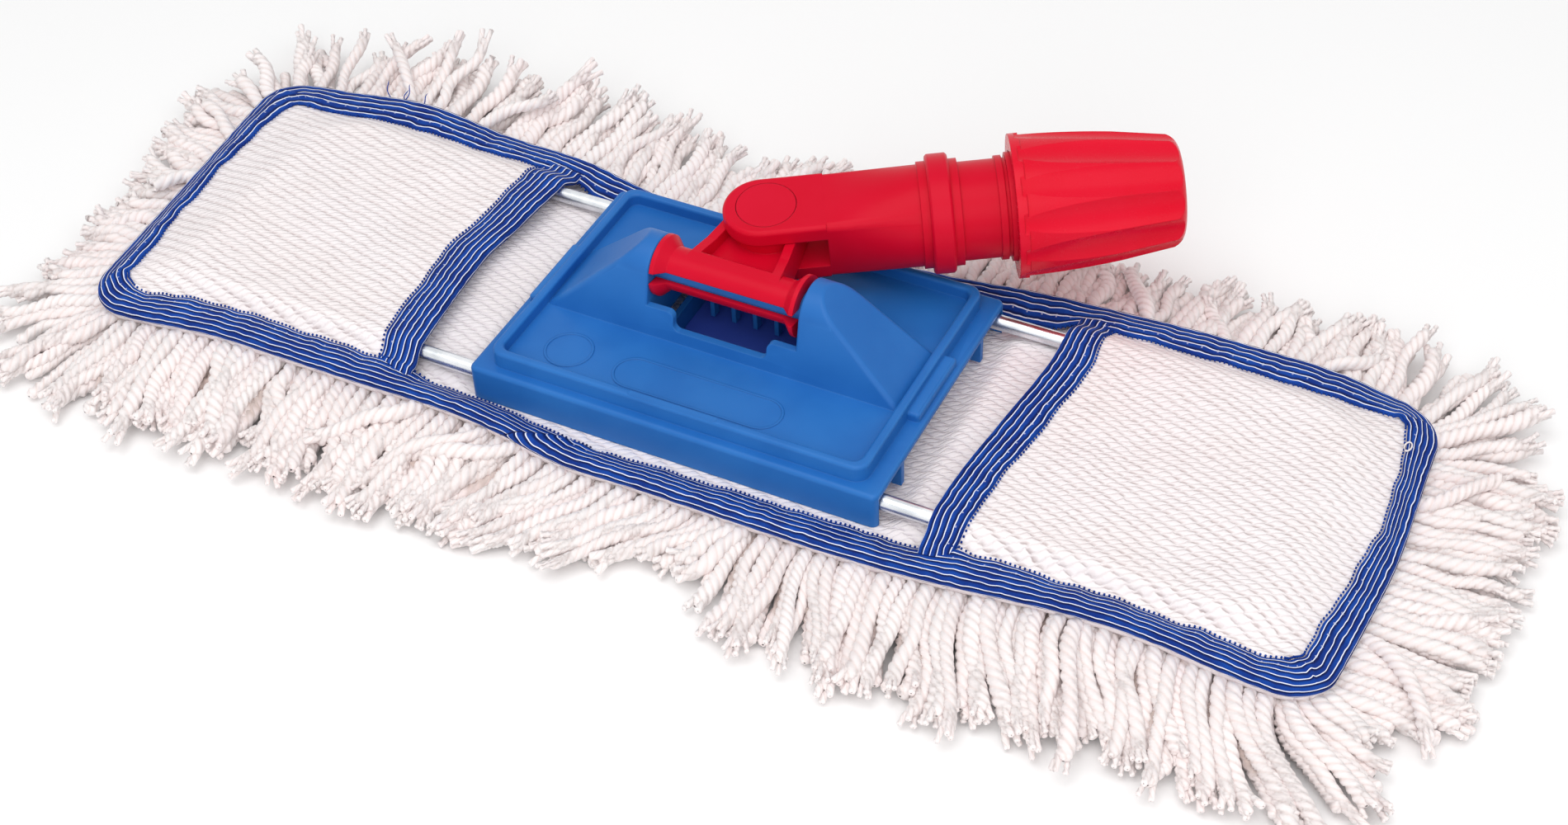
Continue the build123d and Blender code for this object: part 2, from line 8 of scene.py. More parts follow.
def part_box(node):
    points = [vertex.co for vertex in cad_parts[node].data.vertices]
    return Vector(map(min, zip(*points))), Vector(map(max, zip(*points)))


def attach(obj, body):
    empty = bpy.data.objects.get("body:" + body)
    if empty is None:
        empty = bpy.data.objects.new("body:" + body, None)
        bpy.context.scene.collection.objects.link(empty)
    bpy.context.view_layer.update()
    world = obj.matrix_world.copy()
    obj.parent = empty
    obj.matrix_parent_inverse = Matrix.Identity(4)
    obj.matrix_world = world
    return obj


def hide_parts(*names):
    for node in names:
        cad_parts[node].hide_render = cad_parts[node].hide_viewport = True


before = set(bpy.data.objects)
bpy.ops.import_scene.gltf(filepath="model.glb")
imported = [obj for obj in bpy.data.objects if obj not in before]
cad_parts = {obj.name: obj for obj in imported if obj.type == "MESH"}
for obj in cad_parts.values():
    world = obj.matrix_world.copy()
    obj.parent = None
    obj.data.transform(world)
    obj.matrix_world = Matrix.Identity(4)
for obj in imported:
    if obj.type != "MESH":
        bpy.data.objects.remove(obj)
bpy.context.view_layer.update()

MM = 0.001
rng = np.random.default_rng(20)


# Sizes in millimetres, from the frame
def box_mm(node):
    """The lowest and highest corners of a node."""
    low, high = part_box(node)
    return np.array(low) / MM, np.array(high) / MM


half_length, half_width = box_mm("edge_binding")[1][:2]
backing_low, backing_high = box_mm("pad_backing")
cloth_top, yarn_top = backing_high[2], backing_low[2]
plate_end, plate_side = box_mm("base_plate")[1][:2]
wire_end, wire_side, wire_top = box_mm("wire_bow_right")[1]
mouth = box_mm("pocket_strap_right")[0][0]

# Sizes in millimetres that the frame's boxes don't give
corner_radius = 16.0
wire_bend = 20.0
tape_thickness = 0.9
tape_bottom = 9.6
tape_outer_top = 15.4
tape_gap = 0.15
panel_thickness = 1.6
panel_inset = 3
mouth_gap = 0.6
strap_inset = 6
side_hem = 11.0
end_hem = 8.0
hem_top = 18.3
strand_radius = 2.5
ply_count = 3


# Small helpers
def smooth(low, high, x):
    """A soft step from 0 at low to 1 at high. Low may be the larger of the two."""
    t = np.clip((x - low) / (high - low), 0, 1)
    return t * t * (3 - 2 * t)


def wander(s, seed, waves):
    """A smooth random line over distances s: waves are (wavelength, height) pairs."""
    phases = np.random.default_rng(seed).uniform(0, 2 * np.pi, (len(waves), 2))
    total = np.zeros_like(np.asarray(s, float))
    for (length, height), (a, b) in zip(waves, phases):
        swell = 0.7 + 0.3 * np.sin(2 * np.pi * s / (2.7 * length) + b)
        total += height * np.sin(2 * np.pi * s / length + a) * swell
    return total


def soft_table(table, x, blur=8.0):
    """A table of (place, value) read as a smooth line."""
    places, values = np.array(table, float).T
    shifts = np.linspace(-1.5, 1.5, 7) * blur
    return np.mean([np.interp(x + shift, places, values) for shift in shifts], axis=0)


def placed(name, data):
    """A new object in the scene."""
    obj = bpy.data.objects.new(name, data)
    bpy.context.scene.collection.objects.link(obj)
    return obj


def mesh_object(name, points, faces, uv=None, tint=None, *, material, slot):
    """A piece on the base from points in millimetres, quads, a UV map and a tint for each point."""
    mesh = bpy.data.meshes.new(name)
    points = np.asarray(points, float).reshape(-1, 3) * MM
    faces = np.asarray(faces, np.int32)
    mesh.vertices.add(len(points))
    mesh.vertices.foreach_set("co", points.astype(np.float32).ravel())
    mesh.loops.add(faces.size)
    mesh.loops.foreach_set("vertex_index", faces.ravel())
    mesh.polygons.add(len(faces))
    mesh.polygons.foreach_set("loop_start", np.arange(0, faces.size, faces.shape[1], dtype=np.int32))
    mesh.polygons.foreach_set("use_smooth", np.ones(len(faces), bool))
    if uv is not None:
        layer = mesh.uv_layers.new(name="UVMap")
        layer.data.foreach_set("uv", np.asarray(uv, np.float32).ravel())
    if tint is not None:
        attribute = mesh.attributes.new("tint", "FLOAT", "POINT")
        attribute.data.foreach_set("value", np.asarray(tint, np.float32).ravel())
    mesh.update(calc_edges=True)
    mesh.validate()
    mesh.materials.append(material)
    obj = placed(name, mesh)
    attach(obj, "base")
    return obj


def ring_faces(rings, sides, closed=False):
    """Quads of a tube, as ring and side numbers of their corners. A closed tube meets itself."""
    i = np.arange(rings if closed else rings - 1)
    i, j = np.meshgrid(i, np.arange(sides), indexing="ij")
    i, j = i.ravel(), j.ravel()
    return np.stack([i, i + 1, i + 1, i], 1), np.stack([j, j, j + 1, j + 1], 1)


def tube(points, u, v, closed=False):
    """Points, quads and UV map of a tube: u from ring to ring and v round the rings, in millimetres."""
    rings, sides = points.shape[:2]
    i, j = ring_faces(rings, sides, closed)
    uv = np.stack([np.asarray(u)[i], np.asarray(v)[j]], -1)
    return points.reshape(-1, 3), (i % rings) * sides + j % sides, uv


def beads(places, radius, u, v):
    """Points, quads and UV map of small knots: cubes that the shading rounds."""
    ends = (-1, 1)
    corners = np.array([(x, y, z) for x in ends for y in ends for z in ends]) * radius / 3**0.5
    sides = [(0, 1, 3, 2), (4, 6, 7, 5), (0, 4, 5, 1), (2, 3, 7, 6), (0, 2, 6, 4), (1, 5, 7, 3)]
    points = places[:, None] + corners
    faces = np.arange(len(places))[:, None, None] * len(corners) + np.array(sides)
    uv = np.zeros((*faces.shape, 2))
    uv[..., 0] = np.asarray(u)[:, None, None]
    uv[..., 1] = v
    return points.reshape(-1, 3), faces.reshape(-1, 4), uv.reshape(-1, 4, 2)


def joined(parts):
    """Several lists of points, quads, UV maps and more as one."""
    starts = np.cumsum([0] + [len(part[0]) for part in parts[:-1]])
    faces = np.concatenate([part[1] + start for part, start in zip(parts, starts)])
    rest = [np.concatenate(values) for values in list(zip(*parts))[2:]]
    return np.concatenate([part[0] for part in parts]), faces, *rest


# The pad's outline and how the cloth lies
perimeter = 4 * (half_length + half_width) - (8 - 2 * np.pi) * corner_radius


def round_corner(start, end):
    """The way along a corner's arc from one heading to another."""
    return corner_radius * np.stack([np.sin(end) - np.sin(start), np.cos(start) - np.cos(end)], -1)


def outline(s):
    """Points, tangents and outward normals at distances s round the pad, from its front edge's middle."""
    long_side = 2 * (half_length - corner_radius)
    short_side = 2 * (half_width - corner_radius)
    arc = corner_radius * np.pi / 2
    runs = [(long_side / 2, 0), (arc, 1), (short_side, 0), (arc, 1), (long_side, 0), (arc, 1)]
    runs += [(short_side, 0), (arc, 1), (long_side / 2, 0)]
    s = np.asarray(s, float) % perimeter
    point = np.zeros((len(s), 2))
    heading = np.zeros(len(s))
    start, place, way = 0.0, np.array([0.0, -half_width]), 0.0
    for length, turns in runs:
        here = (s >= start) & (s <= start + length + 1e-9)
        d = s[here] - start
        if turns:
            heading[here] = way + d / corner_radius
            point[here] = place + round_corner(way, heading[here])
            after = way + np.pi / 2
            place = place + round_corner(way, after)
            way = after
        else:
            step = np.array([np.cos(way), np.sin(way)])
            heading[here] = way
            point[here] = place + d[:, None] * step
            place = place + length * step
        start += length
    tangent = np.stack([np.cos(heading), np.sin(heading)], 1)
    normal = np.stack([np.sin(heading), -np.cos(heading)], 1)
    return point, tangent, normal


def at(x, y):
    """The distance round the pad of the place on its outline that is nearest to x and y."""
    s = np.linspace(0, perimeter, 4000)
    point = outline(s)[0]
    return s[np.argmin(np.hypot(point[:, 0] - x, point[:, 1] - y))]


def round_table(table, s, blur):
    """A table of (x, y, value) places on the outline, read as a smooth closed line."""
    places = sorted((at(x, y), value) for x, y, value in table)
    wrapped = [(place + turn * perimeter, value) for turn in (-1, 0, 1) for place, value in places]
    return soft_table(wrapped, s, blur)


# How far each edge of the pad strays from straight: (place along it, millimetres)
front_sway = [
    (-225, -1), (-207, 0), (-199, 2), (-171, 6), (-116, 6), (-88, 7), (-75, 7), (-61, 6),
    (-48, 3), (-35, -1), (-11, 0.5), (60, 0.5), (93, 2), (115, 5), (136, 8), (150, 9.5),
    (167, 9.5), (184, 7.5), (199, 5), (209, 5), (225, 4),
]
back_sway = [
    (-225, 1), (-200, 6.5), (-177, 10.5), (-165, 11), (-149, 8), (-133, 5.5), (-104, 5.5),
    (-92, 4), (-74, -2), (-46, -3), (0, -3), (25, -2.5), (39, -1), (55, 0), (71, 3), (94, 5),
    (117, 6), (140, 7.3), (163, 7), (186, 7), (198, 4.5), (210, 1), (225, -0.5),
]
left_sway = [(-69, -3), (0, -9), (62, -15)]
right_sway = [(-63, -1.5), (-40, 0.5), (-1, 3), (53, 0)]

# How much of a long edge's sway goes sideways and how much upwards
sway_across = 0.35
sway_lift = 0.69

# Where the sway comes in, as distances from the middle of the pad
across_band = (45, 60)
lift_band = (54, 69)
end_band = (200, 222)


def lie(points):
    """Moves points of the flat pad to where the cloth lies: its edges lift, sink and stray."""
    p = np.array(points, float)
    x, y = p[..., 0].copy(), p[..., 1].copy()
    sway = np.where(y < 0, soft_table(front_sway, x), soft_table(back_sway, x))
    p[..., 1] += sway_across * sway * smooth(*across_band, np.abs(y))
    p[..., 2] += sway_lift * sway * smooth(*lift_band, np.abs(y))
    at_right = smooth(*end_band, x) * soft_table(right_sway, y)
    at_left = smooth(*end_band, -x) * soft_table(left_sway, y)
    p[..., 0] += at_right + at_left
    return p


# Materials
class Value:
    """A node's output, with signs for the sums that it goes into."""

    def __init__(self, shader, socket):
        self.shader, self.socket = shader, socket

    def __add__(self, other):
        return self.shader.math("ADD", self, other)

    def __sub__(self, other):
        return self.shader.math("SUBTRACT", self, other)

    def __mul__(self, other):
        return self.shader.math("MULTIPLY", self, other)

    def __truediv__(self, other):
        return self.shader.math("DIVIDE", self, other)


class Shader:
    """The node tree of a material or the world, with short ways to add nodes."""

    def __init__(self, owner, **inputs):
        owner.use_nodes = True
        self.owner, self.tree = owner, owner.node_tree
        self.main = next(n for n in self.tree.nodes if n.type in ("BSDF_PRINCIPLED", "BACKGROUND"))
        self.set(self.main, **inputs)

    def feed(self, socket, value):
        """Links a socket to another node's output, or sets it to a number or colour."""
        if isinstance(value, Value):
            self.tree.links.new(value.socket, socket)
        else:
            socket.default_value = value

    def set(self, node, **inputs):
        """Feeds a node's sockets by their names, with _ for a space."""
        for label, value in inputs.items():
            self.feed(node.inputs[label.replace("_", " ")], value)

    def finish(self, **inputs):
        """The material, with the last inputs of its main node."""
        self.set(self.main, **inputs)
        return self.owner

    def add(self, kind, settings=None, **inputs):
        """A new node with settings and inputs."""
        node = self.tree.nodes.new("ShaderNode" + kind)
        for label, value in (settings or {}).items():
            setattr(node, label, value)
        self.set(node, **inputs)
        return node

    def value(self, output, kind, settings=None, **inputs):
        """An output of a new node, by its name."""
        return Value(self, self.add(kind, settings, **inputs).outputs[output])

    def math(self, operation, *values, kind="Math"):
        node = self.add(kind, {"operation": operation})
        for socket, value in zip(node.inputs, values):
            self.feed(socket, value)
        return Value(self, node.outputs[0])

    def noise(self, vector, scale, detail=2.0, roughness=0.5):
        return self.value("Fac", "TexNoise", Vector=vector, Scale=scale, Detail=detail, Roughness=roughness)

    def shaken(self, vector, place, scale, detail, reach):
        """A vector moved at random in X and Y, by up to reach."""
        shift = self.value("Color", "TexNoise", Vector=place, Scale=scale, Detail=detail)
        return self.math("MULTIPLY_ADD", shift, (reach, reach, 0.0), vector, kind="VectorMath")

    def band(self, value, low, high, to_low=0.0, to_high=1.0):
        """A smooth step of value between low and high."""
        ends = {"From_Min": low, "From_Max": high, "To_Min": to_low, "To_Max": to_high}
        return self.value("Result", "MapRange", {"interpolation_type": "SMOOTHSTEP"}, Value=value, **ends)

    def mix(self, factor, a, b):
        """A mix of two colours."""
        node = self.add("Mix", {"data_type": "RGBA"})
        for number, value in ((0, factor), (6, a), (7, b)):
            self.feed(node.inputs[number], value)
        return Value(self, node.outputs[2])

    def bump(self, height, strength, distance, **normal):
        """A normal bent by a height, with the distance in millimetres."""
        depth = distance * MM
        return self.value("Normal", "Bump", Height=height, Strength=strength, Distance=depth, **normal)

    def place(self):
        """The piece's own coordinates, in millimetres."""
        metres = self.value("Object", "TexCoord")
        return self.value("Vector", "VectorMath", {"operation": "SCALE"}, Vector=metres, Scale=1 / MM)

    def split(self, vector):
        """A vector's X and Y."""
        node = self.add("SeparateXYZ", Vector=vector)
        return Value(self, node.outputs["X"]), Value(self, node.outputs["Y"])

    def uv(self):
        """The UV map as two values: along a tape or strand, and across or round it."""
        return self.split(self.value("UV", "UVMap", {"uv_map": "UVMap"}))


def new_shader(name, **inputs):
    """The shader of a new material."""
    return Shader(bpy.data.materials.new(name), **inputs)


def rgb(red, green, blue):
    """A colour given as it shows on screen, 0 to 255."""
    shown = np.array([red, green, blue]) / 255
    linear = np.where(shown < 0.04045, shown / 12.92, ((shown + 0.055) / 1.055) ** 2.4)
    return (*linear, 1.0)


def moulded_plastic(name, colour, pale, roughness, gloss):
    """Satin moulded plastic: fine grain, faint flow marks and slightly paler sharp edges."""
    shader = new_shader(name, IOR=1.49, Specular_IOR_Level=gloss)
    place = shader.place()
    cloudy = shader.noise(place, 0.035, 3.0)
    grain = shader.noise(place, 2.6, 3.0, 0.6)
    scuffs = shader.band(shader.noise(place, 0.35, 6.0, 0.7), 0.56, 0.74)
    edge = shader.band(shader.value("Pointiness", "NewGeometry"), 0.52, 0.62)
    shade = shader.mix(shader.band(cloudy, 0.35, 0.65, 0.0, 0.35), colour, pale)
    shade = shader.mix(edge * 0.35, shade, pale)
    rough = scuffs * 0.12 + roughness + (grain - 0.5) * 0.1
    rounded = shader.value("Normal", "Bevel", {"samples": 6}, Radius=0.5 * MM)
    normal = shader.bump(grain, 0.1, 0.06, Normal=rounded)
    return shader.finish(Base_Color=shade, Roughness=rough, Normal=normal)


def zinc_wire():
    """Bright zinc plate with fine drawing lines along the wire."""
    shader = new_shader("zinc_wire", Metallic=1.0)
    place = shader.place()
    stretched = shader.math("MULTIPLY", place, (0.06, 1.6, 1.6), kind="VectorMath")
    lines = shader.noise(stretched, 1.2, 4.0, 0.6)
    dull = shader.noise(place, 0.12, 3.0)
    shade = shader.mix(shader.band(dull, 0.35, 0.7), rgb(238, 240, 243), rgb(210, 214, 219))
    rough = lines * 0.16 + 0.2
    return shader.finish(Base_Color=shade, Roughness=rough, Normal=shader.bump(lines, 0.15, 0.08))


# The twill's rows and floats in millimetres, and how many floats a row leans over
twill_row = 3.9
twill_float = 2.7
twill_lean = 1.35


def twill_cloth(name, slope, slit_shade_colour):
    """Raw cotton twill: ropy rows that fall to the right, of slanting floats that rise to the right, with
    painted shade in the slits between rows and the seams between floats.
    """
    shader = new_shader(name, Roughness=0.95, Sheen_Weight=0.1, Specular_IOR_Level=0.1)
    place = shader.place()
    waved = shader.shaken(place, place, 0.045, 3.0, 4.5)
    x, y = shader.split(shader.shaken(waved, place, 0.3, 2.0, 1.6))
    across = (y + x * slope) / twill_row
    along = shader.math("FRACT", x / twill_float - across * twill_lean)
    in_float = shader.math("SINE", along * np.pi)
    in_row = shader.math("FRACT", across - along * 0.2)
    # Painted shade: dark at the start of each row and fading up it, and in the seams between floats.
    row_start = shader.band(in_row, 0.0, 0.42, 1.0, 0.0)
    row_end = shader.band(in_row, 0.9, 1.0, 0.0, 0.9)
    slit_shade = shader.math("MAXIMUM", row_start, row_end) * shader.band(in_float, 0.12, 0.9, 0.05, 1.0)
    slit_shade = slit_shade * shader.band(shader.noise(place, 0.13, 3.0), 0.35, 0.6, 0.5, 1.0)
    seam_shade = shader.band(in_float, 0.0, 0.5, 0.22, 0.0)
    ridge = shader.math("POWER", shader.math("SINE", in_row * np.pi), 0.5)
    floats = ridge * shader.band(in_float, 0.0, 0.8, 0.6, 1.0)
    height = floats + shader.noise(place, 2.2, 4.0, 0.7) * 0.3
    worn = shader.band(shader.noise(place, 0.03, 3.0), 0.4, 0.65)
    light = shader.mix(worn, rgb(255, 248, 249), rgb(254, 246, 246))
    shade = shader.mix(shader.math("MAXIMUM", slit_shade, seam_shade), light, slit_shade_colour)
    speck = shader.band(shader.noise(place, 0.9, 2.0), 0.72, 0.78)
    shade = shader.mix(speck * 0.3, shade, rgb(206, 192, 178))
    return shader.finish(Base_Color=shade, Normal=shader.bump(height, 0.8, 0.7))


# The tape's pattern, in millimetres
stripe_pitch = 2.3
weft_pitch = 0.55
stitch_pitch = 5.2
stitch_line = 3.2

# The lap in the tape: its place, slant, shift of the stripes and how that fades, height, start and end
lap_place = perimeter - 36
lap_slant = 1.25
lap_shift = 4.6
lap_fade = 0.16
lap_height = 0.45
lap_starts = (0, 1.2)
lap_ends = (30, 4)


def pinstripe_tape():
    """Blue tape with thin pale pinstripes, stitches, and the slanting end where it laps over itself, with
    painted shade beside each stripe and a painted shadow at the lap's edge.
    """
    shader = new_shader("pinstripe_tape", Roughness=0.7, Specular_IOR_Level=0.15)
    along, across = shader.uv()
    place = shader.place()
    waver = (shader.noise(place, 0.2, 1.0) - 0.5) * 1.1
    past_lap = along - (across * -lap_slant + lap_place)
    fade = shader.math("EXPONENT", shader.math("MAXIMUM", past_lap, 0.0) * -lap_fade)
    lapped = shader.math("GREATER_THAN", past_lap, 0.0)
    line = across + waver + lapped * (fade * lap_shift)
    turn = shader.math("FRACT", line / stripe_pitch)
    stripe = shader.band(turn, 0.39, 0.42) * shader.band(turn, 0.53, 0.56, 1.0, 0.0)
    # Painted shade: a dark band in the groove beside each stripe.
    groove_shade = shader.band(turn, 0.5, 0.58) * shader.band(turn, 0.68, 1.0, 1.0, 0.0)
    rib = shader.math("SINE", turn * np.pi)
    weft = shader.math("SINE", along * (2 * np.pi / weft_pitch)) * 0.5 + 0.5
    faded = shader.noise(place, 0.12, 3.0)
    blue = shader.mix(shader.band(faded, 0.35, 0.65), rgb(12, 52, 140), rgb(18, 74, 170))
    blue = shader.mix(groove_shade * 0.9, blue, rgb(6, 14, 62))
    blue = shader.mix(weft * 0.25, blue, rgb(10, 28, 90))
    shade = shader.mix(stripe, blue, rgb(238, 241, 254))
    tick = shader.math("FRACT", (along + waver) / stitch_pitch)
    off_row = shader.math("ABSOLUTE", across - stitch_line)
    stitch = shader.band(tick, 0.09, 0.13, 1.0, 0.0) * shader.band(off_row, 0.35, 0.6, 1.0, 0.0)
    shade = shader.mix(stitch * 0.55, shade, rgb(206, 212, 236))
    # Painted shadow: a dark line along the edge of the lapped end.
    edge = shader.band(shader.math("ABSOLUTE", past_lap), 0.3, 0.7, 1.0, 0.0)
    shade = shader.mix(edge * 0.8, shade, rgb(8, 14, 60))
    height = rib + weft * 0.15 - stitch * 0.6
    return shader.finish(Base_Color=shade, Normal=shader.bump(height, 0.5, 0.4))


def cotton_yarn():
    """Soft twisted cotton: strands differ in tone, fibres follow the twist, painted shade darkens the
    creases between plies, and tints below zero carry painted shade.
    """
    shader = new_shader(
        "cotton_yarn", Roughness=1.0, Specular_IOR_Level=0.05, Sheen_Weight=0.25, Sheen_Roughness=0.6,
        Subsurface_Weight=0.35, Subsurface_Scale=1.8 * MM, Subsurface_Radius=(0.9, 0.95, 1.0),
    )
    along, around = shader.uv()
    tint = shader.value("Fac", "Attribute", {"attribute_name": "tint"})
    twisted = shader.value("Vector", "CombineXYZ", X=along * 0.25, Y=around * 9.0, Z=tint * 40.0)
    fibre = shader.noise(twisted, 1.6, 4.0, 0.65)
    fuzz = shader.noise(shader.place(), 1.4, 4.0, 0.7)
    shade = shader.mix(tint, rgb(254, 240, 239), rgb(255, 247, 246))
    # Painted shade where the tint falls below zero.
    shade = shader.mix(shader.band(tint, -1.0, 0.0, 0.75, 0.0), shade, rgb(176, 156, 146))
    shade = shader.mix(shader.band(fibre, 0.3, 0.62, 0.08, 0.0), shade, rgb(240, 226, 219))
    # Painted shade in the creases between plies.
    in_ply = shader.math("FRACT", around * ply_count)
    crease_shade = shader.band(shader.math("ABSOLUTE", in_ply - 0.5), 0.3, 0.5)
    shade = shader.mix(crease_shade * 0.42, shade, rgb(228, 207, 200))
    height = fibre + fuzz * 0.6
    return shader.finish(Base_Color=shade, Normal=shader.bump(height, 0.3, 0.3))


def sewing_thread():
    """Loose blue sewing thread, darker in places."""
    shader = new_shader("sewing_thread", Roughness=0.7, Specular_IOR_Level=0.2)
    mottle = shader.noise(shader.place(), 1.1, 3.0)
    shade = shader.mix(shader.band(mottle, 0.35, 0.65), rgb(34, 62, 150), rgb(70, 96, 176))
    return shader.finish(Base_Color=shade)


# Plastics: a colour, a paler one for flow marks and sharp edges, roughness and gloss
blue_plastic = moulded_plastic("blue_plastic", rgb(34, 104, 180), rgb(50, 124, 200), 0.42, 0.24)
# The well floor is a violet copy of the blue plastic that stands in for the shade inside the well: painted
# shade.
well_shade_plastic = moulded_plastic("well_shade_plastic", rgb(58, 84, 190), rgb(66, 96, 200), 0.5, 0.3)
red_plastic = moulded_plastic("red_plastic", rgb(206, 8, 40), rgb(214, 20, 52), 0.34, 0.1)
nut_plastic = moulded_plastic("nut_plastic", rgb(218, 4, 38), rgb(226, 20, 52), 0.26, 0.15)
zinc = zinc_wire()
# The third colour of each twill is its painted slit shade. The backing's is paler: painted light on the
# shaded cloth beside the plate.
backing_lightened_twill = twill_cloth("backing_lightened_twill", 0.3, rgb(236, 225, 229))
panel_twill = {
    "right": twill_cloth("right_twill", 0.37, rgb(214, 199, 198)),
    "left": twill_cloth("left_twill", 0.24, rgb(218, 203, 203)),
}
tape = pinstripe_tape()
yarn = cotton_yarn()
thread = sewing_thread()

rigid = {
    "base_plate": blue_plastic,
    "well_floor": well_shade_plastic,
    "wire_bow_left": zinc,
    "wire_bow_right": zinc,
    "swivel_yoke": red_plastic,
    "handle_socket": red_plastic,
    "knuckle_pin": red_plastic,
    "clamp_nut": nut_plastic,
}
for node, material in rigid.items():
    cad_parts[node].data.materials.clear()
    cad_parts[node].data.materials.append(material)


# Cloth
def round_corners(x, y):
    """Draws the square corners of a grid over the pad in to round ones."""
    u = np.abs(x) - half_length + corner_radius
    v = np.abs(y) - half_width + corner_radius
    in_corner = (u > 0) & (v > 0)
    share = np.where(in_corner, np.maximum(u, v) / np.hypot(u, v), 1.0)
    return x + np.sign(x) * u * (share - 1), y + np.sign(y) * v * (share - 1)


def two_sided(name, x, y, top, thickness, material):
    """A cloth over grids of x, y and top height, its underside a thickness below and its rim closed."""
    rows, columns = x.shape
    sides = 2 * columns
    upper = np.stack([x, y, top], -1)
    lower = upper[:, ::-1].copy()
    lower[..., 2] -= thickness
    loop = lie(np.concatenate([upper, lower], 1))
    i, j = ring_faces(rows, sides)
    around = i * sides + j % sides
    k = np.arange(columns - 1)
    first = np.stack([k, k + 1, sides - 2 - k, sides - 1 - k], 1)
    last = first[:, ::-1] + (rows - 1) * sides
    faces = np.concatenate([around, first, last])
    return mesh_object(name, loop, faces, material=material, slot="cotton_cloth")


# Where the backing comes free of the plate and where it is up at the wires, in millimetres past the plate
free_past_end, free_past_side = (-1, 9), (0, 7.5)
up_from, up_until, up_beside = (0.5, 9), (65, 40), (5.5, -8.5)
up_height = 4.5
plate_gap = 0.1
free_sink = 0.3


def backing_height(x, y):
    """The backing's top: flat under the plate, wavy where free, and up at the wires beside it."""
    past_end, past_side = np.abs(x) - plate_end, np.abs(y) - plate_side
    free = np.maximum(smooth(*free_past_end, past_end), smooth(*free_past_side, past_side))
    waves = wander(x + 0.6 * y, 3, [(61, 0.35), (37, 0.25)]) + wander(y - 0.4 * x, 4, [(43, 0.3)])
    up = smooth(*up_from, past_end) * smooth(*up_until, past_end) * smooth(*up_beside, past_side)
    return cloth_top - plate_gap + free * (waves - free_sink) + up_height * up


def pad_backing():
    """The cloth that carries the yarn, the tape and the pockets."""
    along = np.linspace(backing_low[0], backing_high[0], 181)
    across = np.linspace(backing_low[1], backing_high[1], 57)
    x, y = round_corners(*np.meshgrid(along, across, indexing="ij"))
    thickness = cloth_top - yarn_top
    piece = two_sided("backing_cloth", x, y, backing_height(x, y), thickness, backing_lightened_twill)
    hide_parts("pad_backing")
    return piece


# How a pocket's panel clears the wire and the backing, falls, tucks, sags and ripples, in millimetres
wire_gap = 0.5
hem_gap = 0.4
fall_inset = 2.5
tuck_width = 4.5
sag_depth = 0.7
sag_band = (2, 40)
ripple_band = (2, 12)


def pocket_height(x, y):
    """A pocket panel's top at distances x from the mop's middle: tight from the wire bow to the tape."""
    u = np.abs(y) - wire_side + wire_bend
    v = x - wire_end + wire_bend
    past_bend = np.hypot(np.maximum(u, 0), np.maximum(v, 0))
    outside = past_bend + np.minimum(np.maximum(u, v), 0) - wire_bend
    inset = np.minimum(half_width - np.abs(y) - side_hem, half_length - x - end_hem)
    crown = wire_top + panel_thickness + wire_gap
    hem = cloth_top + panel_thickness + hem_gap
    falling = outside + fall_inset
    to_tape = np.maximum(falling, 0) / np.maximum(falling + inset, 1)
    fall = (crown - hem_top) * smooth(0, 1, to_tape)
    tuck = (hem_top - hem) * smooth(0, tuck_width, -inset)
    sag = sag_depth * smooth(*sag_band, -outside)
    waves = wander(x + 0.5 * y, 7, [(47, 0.28), (29, 0.16)])
    waves = waves + wander(y - 0.3 * x, 8, [(53, 0.32), (23, 0.12)])
    return crown - sag - fall - tuck + waves * smooth(*ripple_band, -outside)


# The pockets' mouths: (place across the mop, distance from its middle, width of the tape over it)
mouths = {
    "right": [
        (-52, 92.3, 11.8), (-28, 93, 12.6), (-4, 95.4, 13),
        (20, 98.6, 13.2), (32, 100.2, 13), (44, 99.4, 12.4),
    ],
    "left": [
        (-52, 95.8, 13.5), (-28, 99, 13.5), (2, 102, 13.5),
        (20, 99.5, 13.5), (44, 97, 14.5), (52, 97, 15.5),
    ],
}
signs = {"right": 1, "left": -1}


def mouth_line(side, y):
    """Where the folded edge of a pocket's mouth runs, and how wide its tape is."""
    table = np.array(mouths[side], float)
    return soft_table(table[:, :2], y, 4.0), soft_table(table[:, ::2], y, 4.0)


def pocket_panel(side):
    """The cloth over one wire bow, from the pocket's mouth to under the tape."""
    rows, columns = 100, 108
    across = np.linspace(panel_inset - half_width, half_width - panel_inset, columns)
    start = mouth_line(side, across)[0] + mouth_gap
    x = start + (half_length - panel_inset - start) * np.linspace(0, 1, rows)[:, None]
    x, y = round_corners(x, np.tile(across, (rows, 1)))
    top = pocket_height(x, y)
    piece = two_sided("pocket_" + side, signs[side] * x, y, top, panel_thickness, panel_twill[side])
    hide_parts("pocket_panel_" + side)
    return piece


# Tape: how many points lie across its top, its fold and its underside
top_points, fold_points, under_points = 9, 5, 4

# How the tape crowns, rises, climbs at a pocket's mouth and folds, and its edge's knots, in millimetres
tape_crown = 0.5
tape_rise = 1.5
tape_climb = (-8, 14)
edge_fold = 2.6
strap_fold = 1.6
strap_rise = 0.8
strap_height = 3.6
picot_pitch = 1.6
picot_reach = 0.75
picot_radius = 0.5

# The tape's share below, the knots' place in a stripe, and the rings without knots at a strap's ends
under_share = 0.8
picot_tone = 0.2
bare_rings = 8

